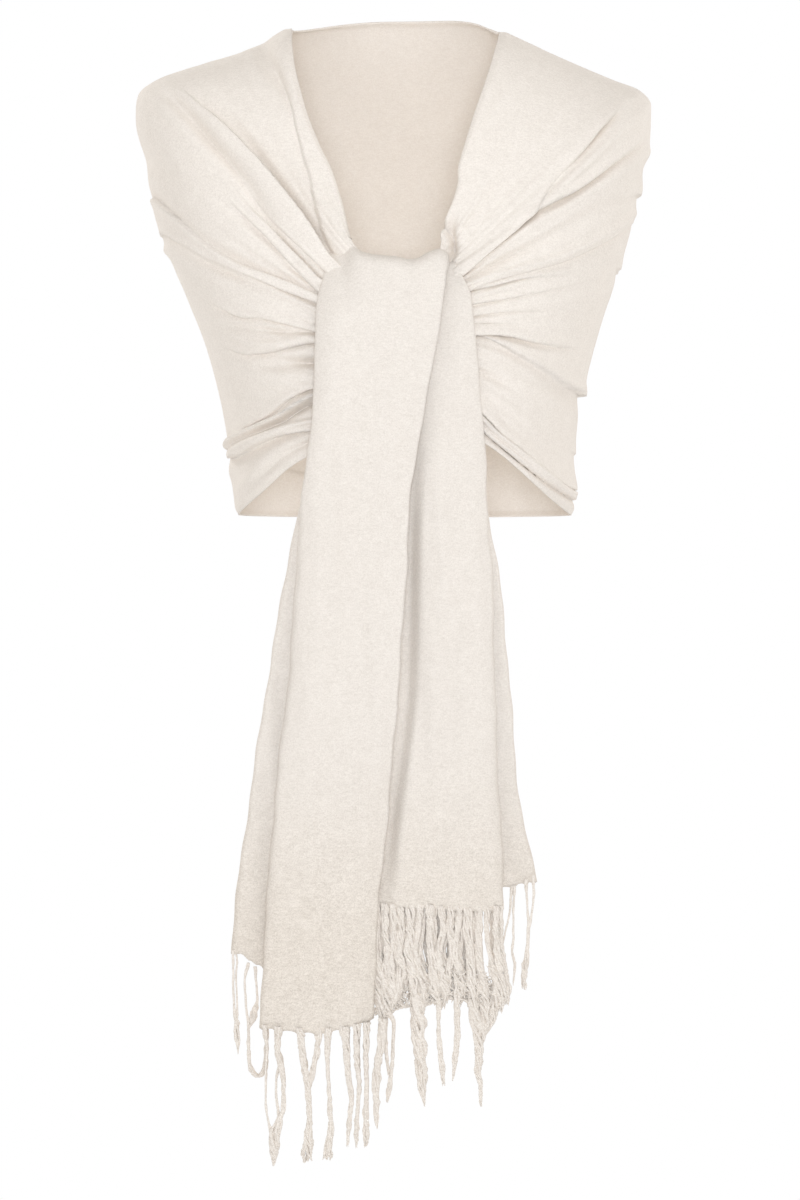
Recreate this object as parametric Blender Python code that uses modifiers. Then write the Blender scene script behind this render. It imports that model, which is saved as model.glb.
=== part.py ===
"""A stole worn as a shrug and tied once at the chest, hollow inside.

It is one long rectangle of cloth with a fringe at each end. It lies across the back and shoulders, both
ends come forward to a knot, and the ends hang down from it as two folded tails. The left end comes up
behind the knot and falls over it. Left and right are the viewer's.

Tables and lengths are in millimetres. +Z is up and the front faces -Y. The origin is midway between the
two places where the cloth lies on the shoulders.
"""

from math import pi

import bmesh
import bpy
import numpy as np
from mathutils import Matrix, Vector

MM = 0.001
CLOTH = 1.6  # thickness of the cloth
SEAM = 0.3  # gap between neighbouring pieces
LAYERS = 4  # layers that each end is folded into
NEST = 2.8  # distance between those layers where they press together at the knot

# The line where the cloth turns from front to back, down over each shoulder and side. It lies in the
# plane y = 0. share is the place across the cloth, from the neck edge (0) to the hem (1).
SIDE_COLUMNS = ("share", "x", "z")
LEFT_SIDE = (
    (0.000, -86, 2),
    (0.085, -122, -19),
    (0.170, -162, -33),
    (0.245, -198, -46),
    (0.280, -209, -55),
    (0.315, -211, -72),
    (0.400, -203, -114),
    (0.500, -193, -160),
    (0.620, -170, -217),
    (0.720, -153, -261),
    (0.850, -138, -322),
    (1.000, -129, -398),
)
RIGHT_SIDE = (
    (0.000, 86, -1),
    (0.110, 135, -23),
    (0.210, 180, -42),
    (0.260, 202, -51),
    (0.290, 210, -62),
    (0.370, 208, -101),
    (0.475, 197, -151),
    (0.570, 184, -196),
    (0.685, 167, -248),
    (0.780, 156, -291),
    (0.880, 148, -341),
    (1.000, 147, -398),
)

# Where the same lines of cloth run in behind the flap or the right tail. sag is how far a line's middle
# hangs below the straight way from the side to here.
KNOT_COLUMNS = ("share", "x", "z", "sag")
LEFT_KNOT = (
    (0.00, -35, -183, 0),
    (0.22, -50, -195, -8),
    (0.33, -58, -214, 2),
    (0.45, -61, -232, 12),
    (0.61, -62, -259, 6),
    (0.81, -64, -301, 0),
    (1.00, -69, -355, 0),
)
RIGHT_KNOT = (
    (0.00, 41, -172, 0),
    (0.23, 54, -198, 6),
    (0.35, 58, -211, 6),
    (0.48, 60, -226, 7),
    (0.57, 61, -238, 5),
    (0.79, 65, -273, 4),
    (0.95, 69, -321, 3),
    (1.00, 73, -345, 2),
)
KNOT_DEPTH_COLUMNS = ("share", "y")
KNOT_DEPTH = (
    (0.0, -119),
    (0.4, -125),
    (1.0, -121),
)

# The middle of the back, from the neck edge to the hem.
BACK_COLUMNS = ("share", "y", "z")
BACK = (
    (0.00, 62, 16),
    (0.20, 92, -67),
    (0.45, 108, -170),
    (0.75, 102, -294),
    (1.00, 93, -398),
)

# Pleats that gather the cloth into the knot: place across the cloth, half width as a share of it, and
# how far each stands out at the side and at the knot. A trough has a negative height.
PLEAT_COLUMNS = ("share", "width", "at_side", "at_knot")
LEFT_PLEATS = (
    (0.10, 0.060, 0.0, 3.0),
    (0.23, 0.030, -0.5, -6.5),
    (0.31, 0.040, 0.5, 5.0),
    (0.38, 0.030, -0.5, -4.0),
    (0.46, 0.035, -1.5, 5.0),
    (0.55, 0.030, -1.5, -4.5),
    (0.63, 0.035, 1.0, 5.0),
    (0.72, 0.030, -0.5, -5.0),
    (0.81, 0.028, 1.5, 5.0),
    (0.87, 0.022, -2.0, -4.5),
    (0.93, 0.024, 1.5, 4.0),
)
RIGHT_PLEATS = (
    (0.12, 0.060, 0.0, 2.5),
    (0.24, 0.032, -0.5, -5.0),
    (0.32, 0.035, 0.5, 4.5),
    (0.40, 0.028, -1.0, -4.5),
    (0.48, 0.034, 1.0, 4.5),
    (0.56, 0.028, -2.0, -4.0),
    (0.64, 0.040, 1.0, 4.5),
    (0.74, 0.026, -1.0, -4.5),
    (0.80, 0.024, 2.0, 4.5),
    (0.88, 0.024, -1.5, -4.5),
    (0.94, 0.022, 2.0, 3.5),
)

# The knot: the hidden bunch of cloth, and the turn that the flap makes over it.
KNOT_TOP_Y, KNOT_TOP_Z = -131, -219  # centre of the turn
KNOT_RADIUS = 18.7
KNOT_SIDES = 8  # flats round the turn
KNOT_FRONT_Y = -138  # the right tail lies against this face
KNOT_FOOT_Z = -352
KNOT_CHAMFER = 8
# Planes in which the fronts end at the knot: x where each crosses the level z, and its slope.
LEFT_END = {"x": -42, "z": -220, "slope": 0.12}
RIGHT_END = {"x": 46, "z": -220, "slope": -0.12}
END_SPARE = 3  # what the fronts are made longer by, before they are cut in those planes
KNOT_SPARE = 20  # the same for each end of the knot
PAST_SIDE = 0.03  # radians by which the back and fronts pass the side, before they are cut there

# Each tail is the cloth's whole width in four layers: the front layer runs from the inner to the outer
# edge, the next two between the tucked turn and the wing, and the last one ends at the tuck again. gap is
# the distance between layers, and roll is how far back the outer edge curves.
TAIL_COLUMNS = ("z", "inner", "outer", "tuck", "wing", "gap", "roll")
LEFT_TAIL = (
    (-190, 41, -34, 37, -30, NEST, 0),
    (-219, 43, -56, 38, -48, NEST, 1),
    (-256, 35, -60, 30, -52, NEST, 5),
    (-303, 27, -63, 12, -55, NEST, 6),
    (-359, 17, -66, -7, -60, 3.2, 5),
    (-416, 12, -71, -14, -76, 5.5, 4),
    (-517, 5, -77, -22, -93, 6.5, 4),
    (-619, -4, -89, -30, -109, 7.0, 3),
    (-703, -11, -95, -36, -120, 7.0, 2),
    (-800, -16, -101, -38, -128, 7.0, 1),
)
RIGHT_TAIL = (
    (-222, -2, 58, 2, 53, NEST, 0),
    (-278, -2, 64, 2, 59, NEST, 0),
    (-318, -1, 67, 3, 62, NEST, 0),
    (-352, -1, 70, 4, 66, 2.9, 0),
    (-441, -2, 74, 2, 79, 4.0, 4),
    (-526, -8, 76, -4, 88, 5.5, 4),
    (-594, -13, 78, -9, 93, 6.0, 4),
    (-640, -16, 80, -12, 98, 6.0, 4),
    (-708, -21, 83, -15, 114, 6.0, 3),
)
EDGE_SHARE = 0.18  # the share of a tail's width that rolls back
# How low each place across the tail's layers ends, counted in layers from the front layer's inner edge.
END_COLUMNS = ("layers", "z")
LEFT_END_LINE = ((0.0, -795), (0.5, -806), (1.0, -802), (2.0, -785), (2.7, -758), (3.0, -744), (4.0, -735))
RIGHT_END_LINE = ((0.0, -706), (0.5, -709), (1.0, -711), (2.0, -704), (2.7, -697), (3.0, -689), (4.0, -682))

LEFT_TAIL_Y = KNOT_TOP_Y - KNOT_RADIUS - SEAM - CLOTH / 2 - (LAYERS - 1) * NEST  # front layer
RIGHT_TAIL_Y = KNOT_FRONT_Y - SEAM - CLOTH / 2 - (LAYERS - 1) * NEST
FLAP_BACK_Z = -246  # where the flap's cloth ends behind the knot

FRINGE_CLOTH = 3.0  # thickness of a fringe's solid
LEFT_FRINGE_LENGTH = 102
RIGHT_FRINGE_LENGTH = 140

CREAM = (0.83, 0.77, 0.69)
WARM_CREAM = (0.78, 0.70, 0.61)


# ---- curves through the tables -----------------------------------------------------------------------


def smooth(rows, columns, name, at):
    """The named column at the places `at` of the first column, on a smooth curve with no overshoot."""
    table = np.array(rows, float)
    place, value = table[:, 0], table[:, columns.index(name)]
    if place[0] > place[-1]:
        place, value = place[::-1], value[::-1]
    step = np.diff(place)
    slope = np.diff(value) / step
    tangent = np.concatenate([slope[:1], (slope[1:] + slope[:-1]) / 2, slope[-1:]])
    tangent[1:-1][slope[1:] * slope[:-1] <= 0] = 0
    limit = 3 * np.minimum(np.abs(np.append(slope, slope[-1])), np.abs(np.insert(slope, 0, slope[0])))
    tangent = np.clip(tangent, -limit, limit)
    at = np.clip(at, place[0], place[-1])
    k = np.clip(np.searchsorted(place, at, side="right") - 1, 0, len(step) - 1)
    t = (at - place[k]) / step[k]
    near = value[k] * (1 + 2 * t) * (1 - t) ** 2 + value[k + 1] * t * t * (3 - 2 * t)
    return near + step[k] * (tangent[k] * t * (1 - t) ** 2 - tangent[k + 1] * t * t * (1 - t))


# ---- the cloth round the body ------------------------------------------------------------------------


def front_form(side, knot, share, turn):
    """Points of a front: turn is 0 at the side and a quarter circle where the cloth reaches the knot."""
    side_x = smooth(side, SIDE_COLUMNS, "x", share)
    side_z = smooth(side, SIDE_COLUMNS, "z", share)
    knot_x = smooth(knot, KNOT_COLUMNS, "x", share)
    knot_z = smooth(knot, KNOT_COLUMNS, "z", share)
    knot_y = smooth(KNOT_DEPTH, KNOT_DEPTH_COLUMNS, "y", share)
    sag = smooth(knot, KNOT_COLUMNS, "sag", share)
    x = knot_x + (side_x - knot_x) * np.cos(turn)
    y = knot_y * np.sin(turn)
    z = knot_z + (side_z - knot_z) * np.cos(turn) - sag * np.sin(2 * turn)
    return np.stack([x, y, z], -1)


def last_turn(side, knot, end, share):
    """How far round each line of cloth has to go to pass the plane in which the front ends."""
    turn = np.full_like(share, pi / 2)
    way = -np.sign(end["x"])
    for _ in range(4):
        z = front_form(side, knot, share, turn)[..., 2]
        x = end["x"] + end["slope"] * (z - end["z"]) + way * END_SPARE
        knot_x = smooth(knot, KNOT_COLUMNS, "x", share)
        side_x = smooth(side, SIDE_COLUMNS, "x", share)
        turn = np.arccos(np.clip((x - knot_x) / (side_x - knot_x), -0.9, 1))
    return turn


def pleat_height(pleats, share, turn):
    """How far the pleats stand out of a front's form. They rise towards the knot."""
    rise = np.clip(turn / (pi / 2), 0, 1) ** 1.5
    height = np.zeros_like(share)
    for place, width, at_side, at_knot in pleats:
        bump = np.exp(-(((share - place) / width) ** 2))
        height += bump * (at_side + (at_knot - at_side) * rise)
    return height


def pleat_rows(pleats):
    """Rows across the cloth: one on each pleat, one between each two, and the edges."""
    places = [0.0] + [pleat[0] for pleat in pleats] + [1.0]
    between = [(low + high) / 2 for low, high in zip(places, places[1:])]
    return np.array(sorted(places + between))


def back_form(share, turn):
    """Points of the back: turn runs from 0 at the left side to a half circle at the right side."""
    left = turn <= pi / 2
    side_x = np.where(
        left, smooth(LEFT_SIDE, SIDE_COLUMNS, "x", share), smooth(RIGHT_SIDE, SIDE_COLUMNS, "x", share)
    )
    side_z = np.where(
        left, smooth(LEFT_SIDE, SIDE_COLUMNS, "z", share), smooth(RIGHT_SIDE, SIDE_COLUMNS, "z", share)
    )
    middle_y = smooth(BACK, BACK_COLUMNS, "y", share)
    middle_z = smooth(BACK, BACK_COLUMNS, "z", share)
    across = np.sin(turn)
    x = side_x * np.abs(np.cos(turn))
    return np.stack([x, middle_y * across, side_z + (middle_z - side_z) * across**2], -1)


def outward(points):
    """Unit normals of a grid of points."""
    down = np.gradient(points, axis=0)
    along = np.gradient(points, axis=1)
    normal = np.cross(down, along)
    return normal / np.linalg.norm(normal, axis=-1, keepdims=True)


# ---- the tails and their fringes ---------------------------------------------------------------------


def layer_places(per_layer, per_turn):
    """Places across a folded tail, as (layer, part of the way along it, angle round the turn after it)."""
    places = []
    for layer in range(LAYERS):
        for k in range(per_layer):
            places.append((layer, k / (per_layer - 1), 0.0))
        if layer < LAYERS - 1:
            for k in range(1, per_turn + 1):
                places.append((layer, 1.0, pi * k / (per_turn + 1)))
    return places


def tail_section(table, places, z):
    """x and depth behind the front layer, for each place across a tail at its own height z."""
    turns = [smooth(table, TAIL_COLUMNS, name, z) for name in ("inner", "outer", "tuck", "wing", "tuck")]
    gap = smooth(table, TAIL_COLUMNS, "gap", z)
    x, depth = np.zeros_like(z), np.zeros_like(z)
    for k, (layer, part, angle) in enumerate(places):
        first, last = turns[layer][..., k], turns[layer + 1][..., k]
        half_gap = gap[..., k] / 2
        bulge = np.sign(last - first) * half_gap * np.sin(angle)
        x[..., k] = first + (last - first) * part + bulge
        depth[..., k] = half_gap * (2 * layer + 1 - np.cos(angle))
    return x, depth


def end_heights(line, places):
    """Where the cloth ends below each place across a tail."""
    count = np.array([layer + (0.999 if angle else part) for layer, part, angle in places])
    return smooth(line, END_COLUMNS, "z", count)


def edge_roll(x, table, z):
    """How far back the cloth of a tail curves near its outer edge."""
    inner = smooth(table, TAIL_COLUMNS, "inner", z)
    outer = smooth(table, TAIL_COLUMNS, "outer", z)
    across = (x - inner) / (outer - inner)
    roll = smooth(table, TAIL_COLUMNS, "roll", z)
    return roll * np.clip((across - 1 + EDGE_SHARE) / EDGE_SHARE, 0, 1.3) ** 2


def hanging(table, places, y, z):
    """Points of a tail or fringe that hangs straight down, for a grid of heights z."""
    x, depth = tail_section(table, places, z)
    return np.stack([x, y + depth + edge_roll(x, table, z), z], -1)


def over_knot(table, places):
    """Points of the flap, from its end behind the knot up to where it falls straight in front."""
    radius = KNOT_TOP_Y - LEFT_TAIL_Y
    rows = []
    for k in range(-1, KNOT_SIDES):
        angle = pi * max(k, 0) / KNOT_SIDES
        below = KNOT_TOP_Z - FLAP_BACK_Z if k < 0 else 0
        level = np.full(len(places), KNOT_TOP_Z + radius * np.sin(max(angle, pi / 2)))
        x, depth = tail_section(table, places, level)
        y = KNOT_TOP_Y + (radius - depth) * np.cos(angle)
        rows.append(np.stack([x, y, KNOT_TOP_Z + (radius - depth) * np.sin(angle) - below], -1))
    return np.array(rows)


# ---- making solids -----------------------------------------------------------------------------------


def material(name, colour):
    made = bpy.data.materials.new(name)
    made.use_nodes = True
    shader = made.node_tree.nodes["Principled BSDF"]
    shader.inputs["Base Color"].default_value = (*colour, 1)
    shader.inputs["Roughness"].default_value = 0.9
    shader.inputs["Metallic"].default_value = 0.0
    return made


def add_object(name, mesh, collection, colour=CREAM):
    made = bpy.data.objects.new(name, mesh)
    collection.objects.link(made)
    mesh.materials.append(material(name, colour))
    return made


def sheet(name, points, collection, thickness=CLOTH, colour=CREAM):
    """A wall of cloth on a grid of points in millimetres."""
    rows, columns = points.shape[:2]
    build = bmesh.new()
    corners = [build.verts.new(Vector(point) * MM) for point in points.reshape(-1, 3)]
    for row in range(rows - 1):
        for column in range(columns - 1):
            here = row * columns + column
            build.faces.new([corners[here + k] for k in (0, 1, columns + 1, columns)])
    mesh = bpy.data.meshes.new(name)
    build.to_mesh(mesh)
    build.free()
    mesh.shade_smooth()
    made = add_object(name, mesh, collection, colour)
    wall = made.modifiers.new("wall", "SOLIDIFY")
    wall.thickness = thickness * MM
    wall.offset = 0
    wall.use_even_offset = True
    return made


def cutter_beyond(name, point, way, collection):
    """A cutter of everything beyond a plane: it starts half a seam before the point and goes off that way."""
    size = 1200
    build = bmesh.new()
    bmesh.ops.create_cube(build, size=size * MM)
    mesh = bpy.data.meshes.new(name)
    build.to_mesh(mesh)
    build.free()
    cutter = add_object(name, mesh, collection)
    way = Vector(way).normalized()
    middle = Vector(point) + way * (size - SEAM) / 2
    turned = Vector((1, 0, 0)).rotation_difference(way).to_matrix().to_4x4()
    cutter.matrix_world = Matrix.Translation(middle * MM) @ turned
    cutter.hide_render = True
    cutter.display_type = "WIRE"
    return cutter


def cut(piece, cutter):
    boolean = piece.modifiers.new("end", "BOOLEAN")
    boolean.operation = "DIFFERENCE"
    boolean.object = cutter


# ---- the pieces --------------------------------------------------------------------------------------


def add_back(cutter, parts):
    turns = np.linspace(-PAST_SIDE, pi + PAST_SIDE, 27)
    share, turn = np.meshgrid(np.linspace(0, 1, 15), turns, indexing="ij")
    cut(sheet("back", back_form(share, turn), parts, colour=WARM_CREAM), cutter)


def add_front(name, side, knot, pleats, end, cutters, parts):
    share, part = np.meshgrid(pleat_rows(pleats), np.linspace(0, 1, 14), indexing="ij")
    turn = (PAST_SIDE + last_turn(side, knot, end, share)) * part - PAST_SIDE
    points = front_form(side, knot, share, turn)
    facing = outward(points)
    facing *= -np.sign(facing[..., 1].sum())
    points += facing * pleat_height(pleats, share, turn)[..., None]
    front = sheet(name, points, parts)
    for cutter in cutters:
        cut(front, cutter)


def add_knot(cutters, parts):
    """A rounded bunch: round on top, stepped back below where the right tail lies against it."""
    back_y = KNOT_TOP_Y + KNOT_RADIUS
    angles = [pi * k / KNOT_SIDES for k in range(KNOT_SIDES + 1)]
    outline = [(KNOT_TOP_Y + KNOT_RADIUS * np.cos(a), KNOT_TOP_Z + KNOT_RADIUS * np.sin(a)) for a in angles]
    outline += [
        (KNOT_FRONT_Y, KNOT_TOP_Z),
        (KNOT_FRONT_Y, KNOT_FOOT_Z + KNOT_CHAMFER),
        (KNOT_FRONT_Y + KNOT_CHAMFER, KNOT_FOOT_Z),
        (back_y - KNOT_CHAMFER, KNOT_FOOT_Z),
        (back_y, KNOT_FOOT_Z + KNOT_CHAMFER),
    ]
    build = bmesh.new()
    left, right = LEFT_KNOT[-1][1] - KNOT_SPARE, RIGHT_KNOT[-1][1] + KNOT_SPARE
    face = build.faces.new([build.verts.new(Vector((left, y, z)) * MM) for y, z in outline])
    end = bmesh.ops.extrude_face_region(build, geom=[face])["geom"]
    moved = [part for part in end if isinstance(part, bmesh.types.BMVert)]
    bmesh.ops.translate(build, verts=moved, vec=Vector((right - left, 0, 0)) * MM)
    bmesh.ops.recalc_face_normals(build, faces=build.faces)
    mesh = bpy.data.meshes.new("knot")
    build.to_mesh(mesh)
    build.free()
    knot = add_object("knot", mesh, parts, WARM_CREAM)
    for cutter in cutters:
        cut(knot, cutter)


def add_tails(parts):
    places = layer_places(per_layer=5, per_turn=2)
    falls = np.linspace(0, 1, 12)[:, None]
    ends = end_heights(LEFT_END_LINE, places)
    z = KNOT_TOP_Z + (ends - KNOT_TOP_Z) * falls
    flap = over_knot(LEFT_TAIL, places)
    sheet("tail_left", np.concatenate([flap, hanging(LEFT_TAIL, places, LEFT_TAIL_Y, z)]), parts)
    add_fringe("fringe_left", LEFT_TAIL, places, LEFT_TAIL_Y, ends, LEFT_FRINGE_LENGTH, parts)

    ends = end_heights(RIGHT_END_LINE, places)
    top = RIGHT_TAIL[0][0]
    z = top + (ends - top) * falls
    sheet("tail_right", hanging(RIGHT_TAIL, places, RIGHT_TAIL_Y, z), parts)
    add_fringe("fringe_right", RIGHT_TAIL, places, RIGHT_TAIL_Y, ends, RIGHT_FRINGE_LENGTH, parts)


def add_fringe(name, table, places, y, ends, length, parts):
    """The reach of a fringe, hanging from the end of its tail."""
    z = ends - SEAM - length * np.linspace(0, 1, 3)[:, None]
    sheet(name, hanging(table, places, y, z), parts, FRINGE_CLOTH, WARM_CREAM)


def collection_named(name):
    made = bpy.data.collections.new(name)
    bpy.context.scene.collection.children.link(made)
    return made


def main():
    for old in list(bpy.data.objects):
        bpy.data.objects.remove(old)
    parts = collection_named("stole")
    helpers = collection_named("cutters")
    add_back(cutter_beyond("before_side", (0, 0, 0), (0, -1, 0), helpers), parts)
    after_side = cutter_beyond("after_side", (0, 0, 0), (0, 1, 0), helpers)
    knot_cutters = []
    for name, side, knot, pleats, end in (
        ("front_left", LEFT_SIDE, LEFT_KNOT, LEFT_PLEATS, LEFT_END),
        ("front_right", RIGHT_SIDE, RIGHT_KNOT, RIGHT_PLEATS, RIGHT_END),
    ):
        inward = -np.sign(end["x"])
        place = (end["x"], 0, end["z"])
        facing = Vector((inward, 0, -inward * end["slope"]))
        inner = cutter_beyond(f"{name}_end", place, facing, helpers)
        knot_cutters.append(cutter_beyond(f"{name}_knot", place, -facing, helpers))
        add_front(name, side, knot, pleats, end, (after_side, inner), parts)
    add_knot(knot_cutters, parts)
    add_tails(parts)


main()
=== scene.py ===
"""The looks of a stole that is worn as a shrug and tied once at the chest.

The wrap is one continuous shell round the back and both fronts. The left end comes up behind the knot
and falls over it as the flap and the left tail, and the right tail hangs beside it. Both tails end in
twisted strands. Left and right are the viewer's.

The cloth's tables and lengths are in millimetres, except where a comment says metres. The stage and the
finished meshes are in metres. +Z is up and the front faces -Y.
"""

from math import pi

import bpy
import numpy as np
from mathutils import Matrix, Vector


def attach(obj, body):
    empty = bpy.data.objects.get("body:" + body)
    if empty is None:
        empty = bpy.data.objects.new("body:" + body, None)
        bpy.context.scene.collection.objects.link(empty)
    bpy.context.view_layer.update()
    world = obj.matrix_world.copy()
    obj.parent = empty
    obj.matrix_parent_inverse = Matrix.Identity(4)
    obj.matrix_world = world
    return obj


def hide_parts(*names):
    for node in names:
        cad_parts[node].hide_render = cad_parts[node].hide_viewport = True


MM = 0.001
CLOTH = 1.3  # thickness of the cloth that is shown
HALF_WALL = 0.8  # half the thickness of the CAD's cloth
SEAM = 0.3  # gap between two stretches
LAYERS = 4  # of a folded tail
TAIL_ROWS = 170
NEST = 2.8  # from the middle of one layer to the next

# ---- the forms of the CAD solids, repeated here ----

SIDE_COLUMNS = ("share", "x", "z")
LEFT_SIDE = (
    SIDE_COLUMNS,
    (0, -86, 2), (0.085, -122, -19), (0.17, -162, -33), (0.245, -198, -46), (0.28, -209, -55),
    (0.315, -211, -72), (0.4, -203, -114), (0.5, -193, -160), (0.62, -170, -217), (0.72, -153, -261),
    (0.85, -138, -322), (1, -129, -398),
)
RIGHT_SIDE = (
    SIDE_COLUMNS,
    (0, 86, -1), (0.11, 135, -23), (0.21, 180, -42), (0.26, 202, -51), (0.29, 210, -62), (0.37, 208, -101),
    (0.475, 197, -151), (0.57, 184, -196), (0.685, 167, -248), (0.78, 156, -291), (0.88, 148, -341),
    (1, 147, -398),
)
KNOT_COLUMNS = ("share", "x", "z", "sag")
LEFT_KNOT = (
    KNOT_COLUMNS,
    (0, -35, -183, 0), (0.22, -50, -195, -8), (0.33, -58, -214, 2), (0.45, -61, -232, 12),
    (0.61, -62, -259, 6), (0.81, -64, -301, 0), (1, -69, -355, 0),
)
RIGHT_KNOT = (
    KNOT_COLUMNS,
    (0, 41, -172, 0), (0.23, 54, -198, 6), (0.35, 58, -211, 6), (0.48, 60, -226, 7), (0.57, 61, -238, 5),
    (0.79, 65, -273, 4), (0.95, 69, -321, 3), (1, 73, -345, 2),
)
KNOT_DEPTH = (("share", "y"), (0, -119), (0.4, -125), (1, -121))
BACK = (("share", "y", "z"), (0, 62, 16), (0.2, 92, -67), (0.45, 108, -170), (0.75, 102, -294), (1, 93, -398))
LEFT_END = {"x": -42, "z": -220, "slope": 0.12}
RIGHT_END = {"x": 46, "z": -220, "slope": -0.12}
END_SPARE = 3  # how far the fronts run in past their end lines
KNOT_TOP_Y, KNOT_TOP_Z = -131, -219
KNOT_RADIUS = 18.7
KNOT_FRONT_Y = -138
KNOT_FOOT_Z = -352
FLAP_BACK_Z = -246

TAIL_COLUMNS = ("z", "inner", "outer", "tuck", "wing", "gap", "roll")
LEFT_TAIL = (
    TAIL_COLUMNS,
    (-190, 43, -46, 37, -42, NEST, 2),
    (-208, 42.5, -48, 37, -44, NEST, 4),
    (-219, 40.5, -53.8, 36, -47, NEST, 6),
    (-236, 38.2, -58.6, 33, -51, NEST, 7),
    (-256, 35.5, -59.5, 30, -52, NEST, 8),
    (-303, 26.5, -61, 12, -55, NEST, 7),
    (-359, 17, -66, -7, -60, 3.2, 5),
    (-416, 12, -71, -14, -76, 5.5, 4),
    (-517, 5, -77, -22, -93, 6.5, 4),
    (-619, -4, -89, -30, -109, 7, 3),
    (-703, -11, -95, -36, -120, 7, 2),
    (-800, -16, -101, -38, -128, 7, 1),
)
RIGHT_TAIL = (
    TAIL_COLUMNS,
    (-202, 6, 47, 8, 45, NEST, 0),
    (-210, 2, 51, 5, 48, NEST, 0),
    (-216, 0, 53.5, 4, 50, NEST, 0),
    (-225, -2, 58, 2, 54, NEST, 1),
    (-240, -2, 60, 2, 56, NEST, 2),
    (-278, -2, 64, 2, 59, NEST, 3),
    (-318, -1, 67, 3, 62, NEST, 3),
    (-352, -1, 70, 4, 66, 2.9, 4),
    (-441, -2, 74, 2, 79, 4, 4),
    (-526, -8, 76, -4, 88, 5.5, 4),
    (-594, -13, 78, -9, 93, 6, 4),
    (-640, -16, 80, -12, 98, 6, 4),
    (-708, -21, 83, -15, 114, 6, 3),
)
# The flap's upper edge where it falls over the knot, and how far that edge is drawn back. At its left the
# edge climbs into the band of the neck edge.
FLAP_TOP = (
    ("x", "z", "back"),
    (-60, -182, 24), (-43, -178, 24), (-38, -175, 22), (-34, -184, 13), (-29, -191.5, 6), (-21, -195.5, 2),
    (-8, -197.5, 0), (4, -198.5, 0), (13, -200.5, 0), (20, -199, 0), (27, -195, 0), (35, -192.5, 0),
    (40, -193.5, 1), (44, -199, 3),
)
# The shaded valley of the right tail beside the gap: its right edge and depth.
VALLEY = (
    ("z", "x", "depth"),
    (-320, 27, 0), (-364, 24, 3), (-416, 21, 7), (-495, 19, 9), (-546, 17.5, 9), (-598, 11.5, 9),
    (-650, 5, 7), (-700, 0, 2), (-720, -2, 0),
)
EDGE_SHARE = 0.2  # of a tail's width, over which its outer edge rolls back
# The cut of each stretch before it was put on, in metres: width and length.
WRAP_FLAT = (0.48, 0.96)
FOOT_COLUMNS = ("layers", "z")  # counted from the front layer's inner edge
LEFT_FOOT = (FOOT_COLUMNS, (0, -795), (0.5, -806), (1, -802), (2, -785), (2.7, -758), (3, -744), (4, -735))
RIGHT_FOOT = (FOOT_COLUMNS, (0, -706), (0.5, -709), (1, -711), (2, -704), (2.7, -697), (3, -689), (4, -682))
RIGHT_TOP_Z = RIGHT_TAIL[1][0]
LEFT_TAIL_Y = KNOT_TOP_Y - KNOT_RADIUS - SEAM - HALF_WALL - (LAYERS - 1) * NEST
RIGHT_TAIL_Y = KNOT_FRONT_Y - SEAM - HALF_WALL - (LAYERS - 1) * NEST

# ---- folds ----

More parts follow.
